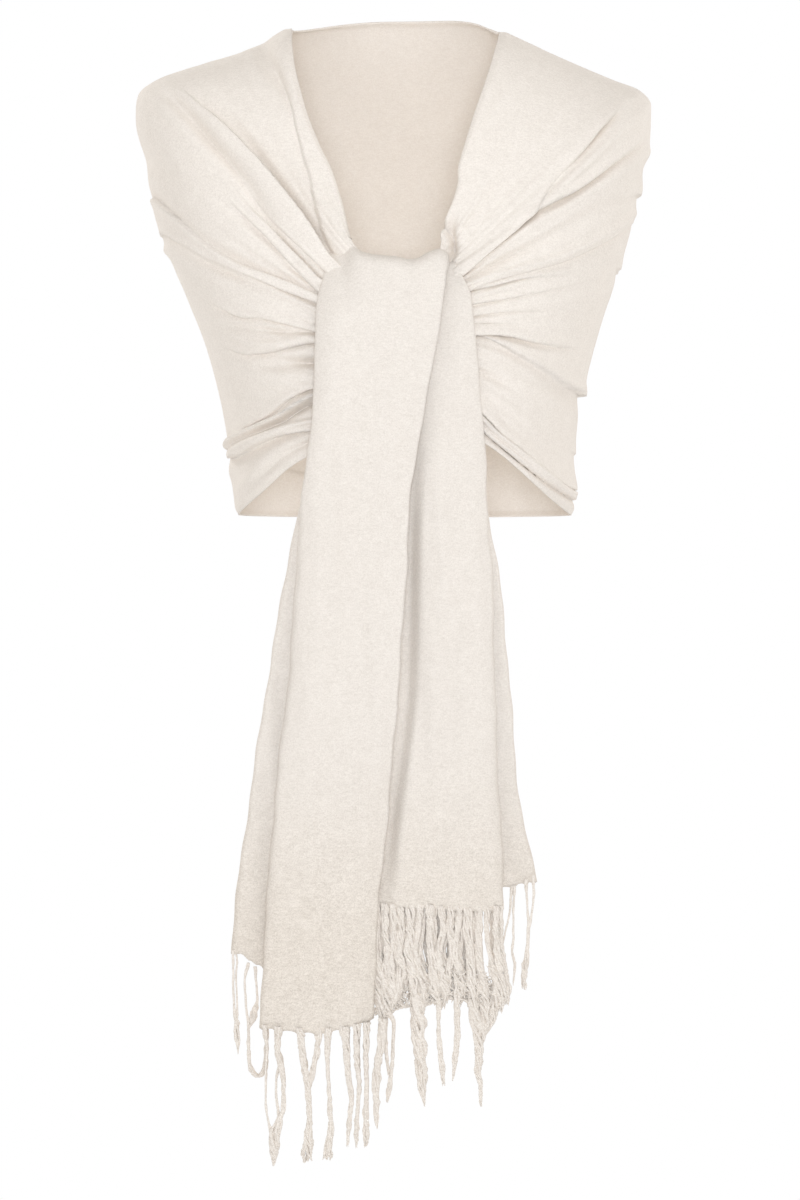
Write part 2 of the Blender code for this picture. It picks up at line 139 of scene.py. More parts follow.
# A fold is a line over the cloth: degrees round the front (0 at the side, 90 at the knot, negative on the
# back), thousandths of the way across, and height. Before the line are its widths: on the neck side, in
# the step of a crease or tuck, and on the hem side.
# A crease has a lip on the neck side and sinks on the hem side, and a tuck is the other way round. A ridge
# stands out on both sides, and with a negative height it is a trough.
LEFT_FOLDS = (
    # the band along the neck edge
    ("crease", (8, 1.4, 5), (36, 34, 0), (44, 31, 0.7), (50, 29, 1.6), (54, 30, 2.2), (58, 39, 2.6),
     (62, 48, 2.8), (66, 62, 3), (71, 80, 3.1), (75, 101, 3.2), (80, 130, 3.4), (86, 175, 3.4),
     (90, 205, 3)),
    ("ridge", (6, 8), (-5, 50, 0), (10, 52, -2), (20, 55, -5), (30, 50, -6), (38, 44, -6), (46, 37, -4),
     (53, 36, 0)),
    # A: the deep pocket over the long ridge
    ("tuck", (22, 1.8, 16), (28, 230, 0), (36, 228, 2), (44, 226, 5), (50, 225, 9), (61, 226, 15),
     (70, 231, 20), (78, 239, 23), (84, 245, 20), (90, 259, 12)),
    # B: a soft trough that turns into a sharp line
    ("ridge", (6.5, 6), (24, 250, 0), (34, 252, -4), (42, 254, -6.5), (50, 260, -8), (58, 263, -8),
     (65, 268, -6.5), (72, 284, -4), (80, 305, 0)),
    ("tuck", (5, 1.4, 3.5), (57, 290, 0), (63, 300, 1.5), (68, 308, 3), (74, 312, 4.2), (80, 322, 5.5),
     (86, 336, 6), (90, 352, 6)),
    ("crease", (2.5, 1.2, 3), (64, 268, 0), (71, 282, 1.6), (76, 289, 2.4), (82, 290, 2.8), (90, 295, 3)),
    # C
    ("crease", (3.5, 1.6, 6), (60, 318, 0), (65, 325, 1.5), (69, 328, 3.5), (74, 332, 5), (79, 346, 5.5),
     (85, 366, 6), (90, 390, 6)),
    # the shaded side below the shoulder
    ("ridge", (15, 12), (-30, 395, 0), (-4, 388, -1), (14, 380, -5), (28, 372, -5), (42, 366, 0)),
    # D: a thin roll between two lines, broad at the side
    ("tuck", (10, 1.4, 4), (-60, 472, 0), (-20, 468, 1), (0, 460, 2), (12, 446, 3.5), (22, 440, 4.2),
     (38, 445, 3.8), (48, 455, 3), (58, 460, 3.4), (64, 459, 3.6), (74, 447, 4), (80, 438, 4.5),
     (90, 432, 5)),
    ("crease", (5, 1.5, 13), (-60, 532, 0), (-18, 524, 0.8), (5, 515, 1.5), (18, 498, 2.8), (32, 487, 4),
     (49, 484, 3.8), (61, 474, 4.2), (71, 466, 5), (80, 461, 5.5), (90, 446, 6)),
    ("ridge", (4, 5), (-30, 552, 0), (-8, 547, 2.2), (5, 541, 2.8), (15, 537, 1.6), (26, 535, 0)),
    ("ridge", (3, 4), (38, 505, 0), (50, 506, -2.4), (58, 501, -2.6), (68, 490, 0)),
    # E and the puff under it
    ("crease", (6, 1.5, 4.5), (34, 610, 0), (45, 611, 2.2), (54, 615, 4.5), (60, 613, 4), (68, 600, 3),
     (76, 593, 4), (83, 589, 4.6), (90, 583, 6)),
    ("ridge", (3.5, 4), (40, 655, 0), (53, 653, -2.2), (66, 645, -3), (80, 622, -3.4), (90, 602, -3.6)),
    ("ridge", (5, 4), (38, 682, 0), (50, 686, 2.4), (59, 694, 3), (68, 684, 3), (80, 655, 2.6),
     (90, 617, 2)),
    ("crease", (6, 1.5, 6), (34, 708, 0), (44, 715, 2.6), (52, 719, 4), (63, 709, 5), (70, 698, 5.5),
     (81, 665, 5.5), (90, 630, 6)),
    ("ridge", (8, 8), (56, 748, 0), (68, 742, -3), (80, 732, -7), (90, 717, -13)),
    # the lower rolls H, I and J
    ("crease", (6, 2.8, 3.4), (20, 876, 0), (36, 872, 1.8), (52, 865, 3.6), (66, 854, 4.4), (74, 836, 5),
     (82, 818, 5.5), (90, 800, 6)),
    ("ridge", (2.4, 2.8), (-40, 892, 0), (-10, 891, 3), (4, 888, 4.5), (22, 882, 5), (46, 879, 5.5),
     (60, 876, 6.5), (72, 870, 7.5), (79, 857, 8), (84, 846, 8), (90, 829, 8)),
    ("ridge", (4, 4.5), (16, 892, 0), (34, 891, -2), (44, 890, -3), (60, 886, -5), (72, 882, -7.5),
     (82, 868, -9.5), (90, 857, -10)),
    ("ridge", (3.5, 3.5), (10, 902, 0), (20, 903, 3), (43, 900, 5), (59, 900, 6), (78, 902, 7),
     (90, 904, 7)),
    ("crease", (4, 1.6, 8), (-50, 908, 0), (-12, 905, 0.5), (0, 904, 1), (8, 905, 2.5), (16, 908, 5),
     (27, 909, 6), (36, 910, 6.5), (51, 907, 7), (65, 907, 7), (79, 913, 7.5), (90, 921, 7.5)),
    ("ridge", (8, 9), (-40, 932, 0), (-6, 930, 2), (6, 928, 2), (22, 926, 0)),
    # the last panel
    ("ridge", (9, 8), (10, 985, 0), (22, 980, 1.5), (46, 958, 2.5), (68, 943, 2.5), (84, 940, 2.5),
     (90, 940, 2.5)),
    ("ridge", (5, 5), (40, 975, 0), (60, 968, -1.5), (76, 962, -2.5), (90, 962, -3.5)),
)
RIGHT_FOLDS = (
    # the slot beside the flap's upper corner
    ("ridge", (5.5, 5.5), (85, 45, 0), (87.2, 65, -4), (88.6, 82, -9), (90, 112, -14), (91, 150, -14),
     (92.4, 175, -10), (93.4, 205, -7), (94.6, 290, -4), (96, 360, 0)),
    # 1: the broad plane over the pleats. Its edge all but fades half way.
    ("crease", (16, 1.8, 5), (22, 250, 0), (28, 248, 2), (33, 246, 5), (38, 246, 7), (46, 252, 6),
     (53, 258, 3.5), (59, 261, 1.2), (63, 265, 1.5), (66, 274, 4.5), (70, 288, 9), (74, 298, 9.5),
     (79, 305, 8), (84, 315, 6.5), (90, 334, 7)),
    ("ridge", (3.5, 4), (28, 284, 0), (42, 284, 2.5), (52, 287, 3.5), (60, 288, 3), (68, 285, 0)),
    # 2
    ("crease", (4, 5, 11), (10, 335, 0), (24, 333, 3), (40, 328, 6), (51, 324, 8.5), (58, 316, 9.5),
     (64, 301, 9.5), (69, 289, 7), (74, 278, 3), (78, 278, 0)),
    ("ridge", (5, 8), (-15, 372, 0), (10, 368, 2.5), (26, 362, 4), (45, 358, 4.5), (58, 350, 4.5),
     (68, 336, 4.5), (76, 330, 4), (84, 337, 3.5), (90, 358, 3)),
    ("ridge", (12, 12), (-35, 405, 0), (-6, 400, -2.5), (12, 398, -2.5), (28, 395, 0)),
    ("ridge", (6, 6), (14, 432, 0), (30, 426, -2.2), (44, 418, -3.2), (64, 413, -3.4), (72, 407, -3.6),
     (80, 391, -4), (90, 376, -4)),
    # 3: a thin lit ridge
    ("ridge", (4, 3), (-10, 474, 0), (12, 474, 2), (28, 475, 3), (44, 479, 3.4), (57, 481, 3.4),
     (66, 474, 3.2), (77, 455, 3), (90, 420, 3)),
    ("crease", (4, 1.5, 9), (-10, 487, 0), (10, 488, 1.5), (22, 489, 2.4), (40, 493, 3.2), (55, 495, 3.2),
     (66, 487, 2.6), (76, 473, 2), (90, 448, 2)),
    # 4: the fine pleats near the knot
    ("crease", (4, 1.4, 4), (46, 545, 0), (58, 531, 1.4), (66, 514, 2.2), (74, 496, 2.8), (84, 478, 3.6),
     (90, 454, 4)),
    ("crease", (4, 1.4, 5), (40, 572, 0), (56, 569, 1.3), (64, 566, 2), (73, 562, 2.2), (82, 554, 2.6),
     (90, 539, 3)),
    ("crease", (4, 2.2, 5), (52, 625, 0), (64, 620, 1.1), (72, 613, 1.5), (80, 606, 2), (90, 602, 2.6)),
    ("crease", (4, 2.2, 6), (58, 664, 0), (72, 656, 0.9), (82, 650, 1.4), (90, 645, 2)),
    # 5: the dark pocket and the long ridge under it
    ("crease", (7, 1.8, 6), (28, 716, 0), (40, 714, 2), (50, 711, 4), (58, 709, 5), (68, 703, 6),
     (74, 696, 7), (83, 691, 9), (88, 690, 12), (90, 688, 14)),
    ("crease", (6, 1.6, 15), (-70, 810, 0), (-25, 797, 5), (4, 792, 8), (24, 789, 6.5), (39, 784, 5.2),
     (48, 775, 5), (59, 763, 5), (68, 752, 5), (78, 731, 4.6), (85, 712, 4), (90, 706, 3)),
    ("ridge", (7, 7), (64, 835, 0), (78, 842, -2.5), (90, 850, -5)),
    # 6: the roll between two dark lines over the hem
    ("crease", (9, 1.6, 2.4), (-35, 945, 0), (0, 949, 4.5), (16, 953, 8), (38, 959, 10), (56, 959, 10.5),
     (68, 957, 10), (79, 958, 9.5), (87, 944, 10), (90, 937, 10.5)),
    ("ridge", (2.6, 2.6), (-20, 961, 0), (5, 961, 3), (20, 964, 4.5), (39, 968, 5.5), (56, 970, 6),
     (73, 971, 6), (85, 967, 6.5), (90, 958, 7)),
    ("crease", (2.6, 1.4, 3.5), (-20, 970, 0), (5, 970, 3.5), (25, 971, 5), (36, 974, 5.5), (50, 977, 6),
     (64, 981, 6), (74, 983, 6), (86, 981, 6.5), (91, 974, 7)),
    # bumps of the outline
    ("crease", (10, 1.8, 10), (-40, 446, 0), (-8, 441, 4), (4, 438, 4), (16, 432, 2), (30, 425, 0)),
    ("crease", (8, 1.6, 8), (-45, 582, 0), (-5, 571, 4), (6, 567, 3.5), (16, 561, 0)),
    ("crease", (9, 1.8, 10), (-35, 900, 0), (-2, 893, 1.8), (12, 892, 1.2), (28, 890, 0)),
)
# The back is not seen, so its folds follow from the pull of the ends: soft and long, deeper towards the
# hem. Degrees run on from the left side, 0, over the middle of the back, -90, to the right side, -180.
BACK_FOLDS = (
    ("ridge", (24, 30), (-20, 300, 0), (-60, 340, -2), (-95, 360, -1.5), (-130, 350, 0)),
    ("crease", (26, 5, 30), (-4, 620, 0), (-35, 660, 3.5), (-75, 700, 4), (-110, 705, 2.5), (-140, 690, 0)),
    ("crease", (20, 5, 26), (-182, 600, 0), (-160, 630, 3.5), (-130, 655, 3.5), (-100, 660, 0)),
    ("crease", (18, 4, 22), (-4, 760, 0), (-30, 800, 4), (-70, 835, 4), (-115, 840, 3), (-150, 820, 0)),
    ("crease", (15, 4, 18), (-184, 700, 0), (-165, 740, 3.5), (-140, 770, 4), (-105, 790, 0)),
    ("crease", (12, 3, 14), (-20, 880, 0), (-55, 915, 3), (-90, 930, 3), (-125, 925, 0)),
    ("ridge", (26, 22), (-150, 420, 0), (-120, 470, -1.8), (-85, 500, -1.8), (-50, 490, 0)),
    ("ridge", (16, 18), (-10, 500, 0), (-30, 535, 2), (-62, 570, 2), (-90, 580, 0)),
)

# How far the neck edges swing to the right of their form.
SWING_COLUMNS = ("degrees", "x")
LEFT_NECK_SWING = (
    SWING_COLUMNS,
    (-20, 0), (0, 1), (10, 1.2), (25, -2), (40, -5.5), (54, -6), (66, -2.8), (73, 1.2), (80, 1.7), (85, 0),
    (88.7, -2), (90.3, -2.9),
)
RIGHT_NECK_SWING = (
    SWING_COLUMNS,
    (-20, 0), (0, 0.3), (12, 1.2), (25, 1.8), (36, 1.8), (48, 0.8), (59, -1.1), (67, -2), (74, -2.5),
    (79, 1), (83, 1.2), (86.5, 0.2), (88.5, -0.4), (90.5, 0.9), (93, 2.6),
)
GATHER = 12  # how far the cloth swells forward where it runs in behind the flap
BAND_SWELL = 13  # how much further the left band comes forward, so that it runs on into the flap
WRAP_ROWS = 330  # across the cloth
FRONT_STEPS, BACK_STEPS = 57, 26  # along the cloth
CROWDING = 1.5  # above 1 the front steps are finer near the knot
# Rows stand closer where there are more folds.
ROW_DENSITY = (
    ("share", "density"),
    (0, 1.4), (0.06, 1.5), (0.13, 1.2), (0.2, 1.5), (0.35, 1.5), (0.43, 1.2), (0.5, 1.2), (0.55, 0.9),
    (0.61, 1.2), (0.71, 1.1), (0.77, 0.8), (0.85, 1.5), (0.91, 1.6), (0.95, 2.3), (1, 2.3),
)


def smooth(table, name, at):
    """A table's named column at places of its first column, on a smooth curve with no overshoot.

    The table's first row names its columns.
    """
    columns, *rows = table
    rows = np.array(rows, float)
    place, value = rows[:, 0], rows[:, columns.index(name)]
    if place[0] > place[-1]:
        place, value = place[::-1], value[::-1]
    step = np.diff(place)
    slope = np.diff(value) / step
    tangent = np.concatenate([slope[:1], (slope[1:] + slope[:-1]) / 2, slope[-1:]])
    tangent[1:-1][slope[1:] * slope[:-1] <= 0] = 0
    limit = 3 * np.minimum(np.abs(np.append(slope, slope[-1])), np.abs(np.insert(slope, 0, slope[0])))
    tangent = np.clip(tangent, -limit, limit)
    at = np.clip(at, place[0], place[-1])
    k = np.clip(np.searchsorted(place, at, side="right") - 1, 0, len(step) - 1)
    t = (at - place[k]) / step[k]
    near = value[k] * (1 + 2 * t) * (1 - t) ** 2 + value[k + 1] * t * t * (3 - 2 * t)
    return near + step[k] * (tangent[k] * t * (1 - t) ** 2 - tangent[k + 1] * t * t * (1 - t))


def ramp(value, start, run):
    """0 up to the start, 1 from the end of the run on."""
    return np.clip((value - start) / run, 0, 1)


def eased(part):
    return part * part * (3 - 2 * part)


def bell(value, width):
    """1 at 0, and falling off on both sides."""
    return np.exp(-((value / width) ** 2))


def unit(vectors):
    return vectors / np.linalg.norm(vectors, axis=-1, keepdims=True)


def front_form(side, knot, share, turn):
    side_x, side_z = (smooth(side, name, share) for name in ("x", "z"))
    knot_x, knot_z, sag = (smooth(knot, name, share) for name in ("x", "z", "sag"))
    knot_y = smooth(KNOT_DEPTH, "y", share)
    x = knot_x + (side_x - knot_x) * np.cos(turn)
    y = knot_y * np.sin(turn)
    z = knot_z + (side_z - knot_z) * np.cos(turn) - sag * np.sin(2 * turn)
    return np.stack([x, y, z], -1)


def last_turn(side, knot, end, share):
    """The turn at which a front ends behind the flap. Its height depends on it, so it takes a few rounds."""
    turn = np.full_like(share, pi / 2)
    way = -np.sign(end["x"])
    side_x, knot_x = (smooth(table, "x", share) for table in (side, knot))
    for _ in range(4):
        z = front_form(side, knot, share, turn)[..., 2]
        x = end["x"] + end["slope"] * (z - end["z"]) + way * END_SPARE
        turn = np.arccos(np.clip((x - knot_x) / (side_x - knot_x), -0.9, 1))
    return turn


def back_form(share, turn):
    left = turn <= pi / 2
    side_x, side_z = (
        np.where(left, smooth(LEFT_SIDE, name, share), smooth(RIGHT_SIDE, name, share))
        for name in ("x", "z")
    )
    middle_y, middle_z = (smooth(BACK, name, share) for name in ("y", "z"))
    across = np.sin(turn)
    x = side_x * np.abs(np.cos(turn))
    flatness = np.where(left, 2, 2 + 4 * (1 - share) ** 6)  # the neck edge is high up to its right end
    rise = 1 - np.abs(np.cos(turn)) ** flatness
    return np.stack([x, middle_y * across, side_z + (middle_z - side_z) * rise], -1)


def outward(points):
    """Unit normals of a grid of points."""
    down = np.gradient(points, axis=0)
    along = np.gradient(points, axis=1)
    return unit(np.cross(along, down))


FOLD_COLUMNS = ("degrees", "share", "height")
LIP = 0.42  # share of a crease's height that stands out, the rest sinks in
SLIDE = 0.32  # how far a crease's lip is drawn over, as a share of its height


def profile(kind, widths, distance):
    """Height and slide across a fold of height 1, at a distance from its line that grows towards the hem.

    The slide draws the lip of a crease over the cloth beside it.
    """
    neck_side, hem_side = widths[0], widths[-1]
    if kind == "ridge":
        width = np.where(distance < 0, neck_side, hem_side)
        return bell(distance, width), 0.0
    if kind == "tuck":
        distance = -distance
        neck_side, hem_side = hem_side, neck_side
    step = widths[1]
    part = eased(ramp(distance, 0, step))
    above = LIP * bell(np.minimum(distance, 0), neck_side)
    below = (LIP - 1) * bell(np.maximum(distance - step, 0), hem_side)
    height = np.where(distance < 0, above, np.where(distance > step, below, LIP - part))
    slide = bell(np.minimum(distance, 0), 0.5 * neck_side) * (1 - part)
    return height, slide if kind == "crease" else -slide


def fold_moves(folds, share, degrees, points, narrowing):
    """How far the folds push each point of a grid out of its form, and slide it towards the hem."""
    per_share = np.gradient(points, axis=0) / np.gradient(share, axis=0)[..., None]
    per_degree = np.gradient(points, axis=1) / np.gradient(degrees, axis=1)[..., None]
    cell = np.linalg.norm(np.cross(per_share, per_degree), axis=-1)
    height, slide = np.zeros_like(share), np.zeros_like(share)
    for kind, widths, *line in folds:
        rows = (FOLD_COLUMNS, *sorted((angle, place / 1000, rise) for angle, place, rise in line))
        place = smooth(rows, "share", degrees)
        rise = smooth(rows, "height", degrees)
        ahead, behind = (smooth(rows, "share", degrees + d) for d in (0.5, -0.5))
        across = cell / np.linalg.norm(per_share * (ahead - behind)[..., None] + per_degree, axis=-1)
        distance = (share - place) * across
        out, over = profile(kind, widths, distance / narrowing)
        height += rise * out
        slide += SLIDE * rise * over
    return height, slide


def waves(first, second, seed, count, rough=(1, 1)):
    """Uneven soft waves over two coordinates, about -1 to 1. They stand closer where rough is more."""
    draw = np.random.default_rng(seed)
    total = np.zeros_like(first)
    for k in range(count):
        a, b = draw.normal(0, rough[0]), draw.normal(0, rough[1])
        total += np.sin(2 * pi * (a * first + b * second + draw.random()))
    return total / np.sqrt(count / 2)


def wrap_grid():
    even = np.linspace(0, 1, WRAP_ROWS)
    passed = np.cumsum(smooth(ROW_DENSITY, "density", even))
    share_line = np.interp(np.linspace(passed[0], passed[-1], WRAP_ROWS), passed, even)
    part = 1 - np.linspace(0, 1, FRONT_STEPS + 1) ** CROWDING
    share_left, part_left = np.meshgrid(share_line, part, indexing="ij")
    turn_left = last_turn(LEFT_SIDE, LEFT_KNOT, LEFT_END, share_left) * part_left
    turn_right = last_turn(RIGHT_SIDE, RIGHT_KNOT, RIGHT_END, share_left) * part_left
    back_turns = np.linspace(0, pi, BACK_STEPS + 1)[1:-1]
    share_back, turn_back = np.meshgrid(share_line, back_turns, indexing="ij")
    left = front_form(LEFT_SIDE, LEFT_KNOT, share_left, turn_left)
    right = front_form(RIGHT_SIDE, RIGHT_KNOT, share_left, turn_right)
    points = np.concatenate([left, back_form(share_back, turn_back), right[:, ::-1]], axis=1)
    share = np.concatenate([share_left, share_back, share_left], axis=1)
    turns = [np.degrees(turn_left), -np.degrees(turn_back), -180 - np.degrees(turn_right)[:, ::-1]]
    return share, np.concatenate(turns, axis=1), points


# What bends the wrap beside its folds. Degrees are those round the left front.
SWING_WIDTH = 0.12  # share of the cloth that swings with the neck edge
NARROWING = 0.45  # how much narrower the folds are at the knot
BAND_FROM, BAND_RUN = 74, 18  # degrees over which the left band comes forward
BAND_SHARE, BAND_WIDTH = 0.09, 0.11  # its middle and half width across the cloth
CALM, CALM_WIDTH = 0.9, 0.25  # how much less of the waves the neck edge has near the knot
WAVE, KNOT_WAVE = 0.35, 0.6  # heights of the waves on the fronts, and of more at the knot
EDGE_DROP, EDGE_WIDTH = 2.2, 3.5  # the cloth's edges roll in
EDGE_HELD = 0.8  # but less at the knot


def wrap_points():
    share, from_left, points = wrap_grid()
    from_right = -180 - from_left
    near_knot = np.clip(np.maximum(from_left, from_right) / 90, 0, 1.1)
    swing = smooth(LEFT_NECK_SWING, "x", from_left) + smooth(RIGHT_NECK_SWING, "x", from_right)
    points[..., 0] += swing * bell(share, SWING_WIDTH)
    facing = outward(points)
    downward = unit(np.gradient(points, axis=0))
    narrowing = 1 - NARROWING * near_knot**2
    height, slide = np.zeros_like(share), np.zeros_like(share)
    for folds, degrees, shown in (
        (LEFT_FOLDS, from_left, from_left > -90),
        (RIGHT_FOLDS, from_right, from_right > -90),
        (BACK_FOLDS, from_left, True),
    ):
        out, over = fold_moves(folds, share, degrees, points, narrowing)
        height += out * shown
        slide += over * shown
    height += GATHER * near_knot**5
    ahead = eased(ramp(from_left, BAND_FROM, BAND_RUN))
    height += BAND_SWELL * ahead * bell(share - BAND_SHARE, BAND_WIDTH)
    on_front = np.clip(near_knot * 3, 0, 1)
    at_knot = np.minimum(near_knot, 1)
    calm = 1 - CALM * at_knot**4 * np.clip(1 - share / CALM_WIDTH, 0, 1)
    height += WAVE * calm * on_front * waves(share * 12, from_left / 90, 3, 14, (0.8, 1.0))
    height += KNOT_WAVE * calm * near_knot**3 * waves(share * 22, from_left / 90, 4, 10, (0.7, 0.8))
    for edge in (share, 1 - share):
        from_edge = edge * WRAP_FLAT[0] / MM
        height -= EDGE_DROP * (1 - EDGE_HELD * at_knot**6) * bell(from_edge, EDGE_WIDTH)
    return points + facing * height[..., None] + downward * slide[..., None]


# ---- tails ----

LOOSE = (240, 120)  # how far below the origin a tail begins to hang loose, and over what run
TURNED = {"width": 22, "depth": 6, "from": (500, 120)}  # the edge that turns back, from how far down
SCALLOP, SCALLOP_WIDTH = 2.4, 3  # how far a strand draws the hem down, and over what width


def layer_places(per_layer, per_turn):
    """Places along a tail's folded section: layer, part of the way across it, and angle in its turn."""
    places = []
    for layer in range(LAYERS):
        places += [(layer, k / (per_layer - 1), 0.0) for k in range(per_layer)]
        if layer < LAYERS - 1:
            places += [(layer, 1.0, pi * k / (per_turn + 1)) for k in range(1, per_turn + 1)]
    return places


def tail_section(table, places, z):
    turns = [smooth(table, name, z) for name in ("inner", "outer", "tuck", "wing", "tuck")]
    gap = smooth(table, "gap", z)
    x, depth = np.zeros_like(z), np.zeros_like(z)
    for k, (layer, part, angle) in enumerate(places):
        first, last = turns[layer][..., k], turns[layer + 1][..., k]
        half_gap = gap[..., k] / 2
        bulge = np.sign(last - first) * half_gap * np.sin(angle)
        x[..., k] = first + (last - first) * part + bulge
        depth[..., k] = half_gap * (2 * layer + 1 - np.cos(angle))
    return x, depth


def edge_roll(x, table, z):
    inner, outer, roll = (smooth(table, name, z) for name in ("inner", "outer", "roll"))
    across = (x - inner) / (outer - inner)
    return roll * np.clip((across - 1 + EDGE_SHARE) / EDGE_SHARE, 0, 1.3) ** 2


def hanging(table, places, y, z):
    x, depth = tail_section(table, places, z)
    depth += edge_roll(x, table, z)
    sway = 0.6 * ramp(-z, *LOOSE) * waves(z / 90, x / 400, 23, 6)
    return np.stack([x + sway, y + depth + soft_drape(x, z), z], -1)


def soft_drape(x, z):
    """Slow hollows and swells down the length of a tail."""
    broad = 1.1 * waves(x / 60, z / 500, 21, 8, (0.7, 0.5))
    fine = 0.35 * waves(x / 18, z / 160, 22, 8, (0.6, 0.5))
    return ramp(-z, *LOOSE) * (broad + fine)


def turned_back(table, x, z):
    """The lower part of a tail's inner edge turns back."""
    near_edge = np.clip(1 - np.abs(x - smooth(table, "inner", z)) / TURNED["width"], 0, 1)
    return TURNED["depth"] * ramp(-z, *TURNED["from"]) * near_edge**2


def foot_heights(line, table, places, strands):
    """Heights of a tail's foot, drawn down where a strand hangs. A turn counts with the layer before it."""
    ends = smooth(line, "z", np.array([layer + (0.999 if angle else part) for layer, part, angle in places]))
    x, _ = tail_section(table, places, ends)
    pull = np.zeros_like(x)
    for _, top, *_ in strands:
        pull = np.maximum(pull, bell(x - top[0], SCALLOP_WIDTH))
    return ends + SCALLOP * (0.4 - pull)


def valley(x, z):
    """How far back the right tail's shaded valley lies. Its side is 11 mm wide."""
    inside = smooth(VALLEY, "x", z) - x
    return smooth(VALLEY, "depth", z) * eased(ramp(inside, -3, 11))


TURN_STEPS = 26
FLAP_CREST = -190.8  # top of the turn before its edge is shaped
FLAP_LEVEL = -245  # the shaping ends at this height
SQUARE = 0.48  # below 1 the turn is squarer than a circle
DIP = {"x": 5, "z": -218, "half_width": 9, "half_height": 16, "depth": 2.2}  # the hollow under the edge
CORNER = {"left_of": (28, 6), "above": (-203, 9), "back": 5}  # the flap's upper left corner, drawn back
LEAN, LEAN_ABOVE = 11, (-236, 36)  # how far the right tail's top leans back, and over what heights


def over_knot(table, places):
    radius = KNOT_TOP_Y - LEFT_TAIL_Y
    rows = []
    for k in range(-1, TURN_STEPS):
        angle = pi * max(k, 0) / TURN_STEPS
        below = KNOT_TOP_Z - FLAP_BACK_Z if k < 0 else 0
        level = np.full(len(places), KNOT_TOP_Z + radius * np.sin(max(angle, pi / 2)))
        x, depth = tail_section(table, places, level)
        forward = np.sign(np.cos(angle)) * abs(np.cos(angle)) ** SQUARE
        y = KNOT_TOP_Y + (radius - depth) * forward
        rows.append(np.stack([x, y, KNOT_TOP_Z + (radius - depth) * np.sin(angle) ** SQUARE - below], -1))
    flap = np.array(rows)
    in_front = flap[..., 1] < KNOT_TOP_Y
    flap[..., 1] += edge_roll(flap[..., 0], table, flap[..., 2]) * in_front
    return flap


def shaped_flap(points):
    """The flap's upper edge drawn to its own line, with a shallow hollow under its dip."""
    x, y, z = points[..., 0], points[..., 1], points[..., 2]
    part = ramp(z, FLAP_LEVEL, FLAP_CREST - FLAP_LEVEL)
    shaped = points.copy()
    shaped[..., 1] += part * smooth(FLAP_TOP, "back", x)
    shaped[..., 2] += eased(part) * (smooth(FLAP_TOP, "z", x) - FLAP_CREST)
    z = shaped[..., 2]
    hollow = bell(x - DIP["x"], DIP["half_width"]) * bell(z - DIP["z"], DIP["half_height"])
    shaped[..., 1] += DIP["depth"] * hollow * (y < KNOT_TOP_Y)
    shaped[..., 1] += CORNER["back"] * ramp(z, *CORNER["above"]) * ramp(-x, *CORNER["left_of"])
    return shaped


def leaning(points):
    """The right tail's top leans back, so that it comes out from under the right front."""
    leant = points.copy()
    leant[..., 1] += LEAN * ramp(points[..., 2], *LEAN_ABOVE) ** 1.6
    return leant


# ---- the bunch of cloth behind the flap ----

BUNCH_MIDDLE, BUNCH_HALF_WIDTH = 2, 46
BUNCH_HALF_HEIGHT, BUNCH_HALF_DEPTH = 65.7, 13
BUNCH_Y = KNOT_TOP_Y + 7
BUNCH_BEND = 4  # how far its ends are bent back


def bunch_points():
    """A rolled bunch from side to side, creased along its length."""
    angle = np.linspace(0, 2 * pi, 181)[None, :]
    way = np.linspace(-1, 1, 60)[:, None]
    x = BUNCH_MIDDLE + BUNCH_HALF_WIDTH * way
    creased = 1 + 0.09 * np.abs(np.sin(4.5 * angle + 0.03 * x)) + 0.04 * np.sin(11 * angle - 0.05 * x)
    forward = np.sign(np.cos(angle)) * np.abs(np.cos(angle)) ** 0.6
    y = BUNCH_Y + BUNCH_HALF_DEPTH * creased * forward + BUNCH_BEND * way**2
    z = (KNOT_TOP_Z + KNOT_RADIUS + KNOT_FOOT_Z) / 2 + BUNCH_HALF_HEIGHT * creased * np.sin(angle)
    return np.stack(np.broadcast_arrays(x, y, z), -1)


# ---- the fringes ----

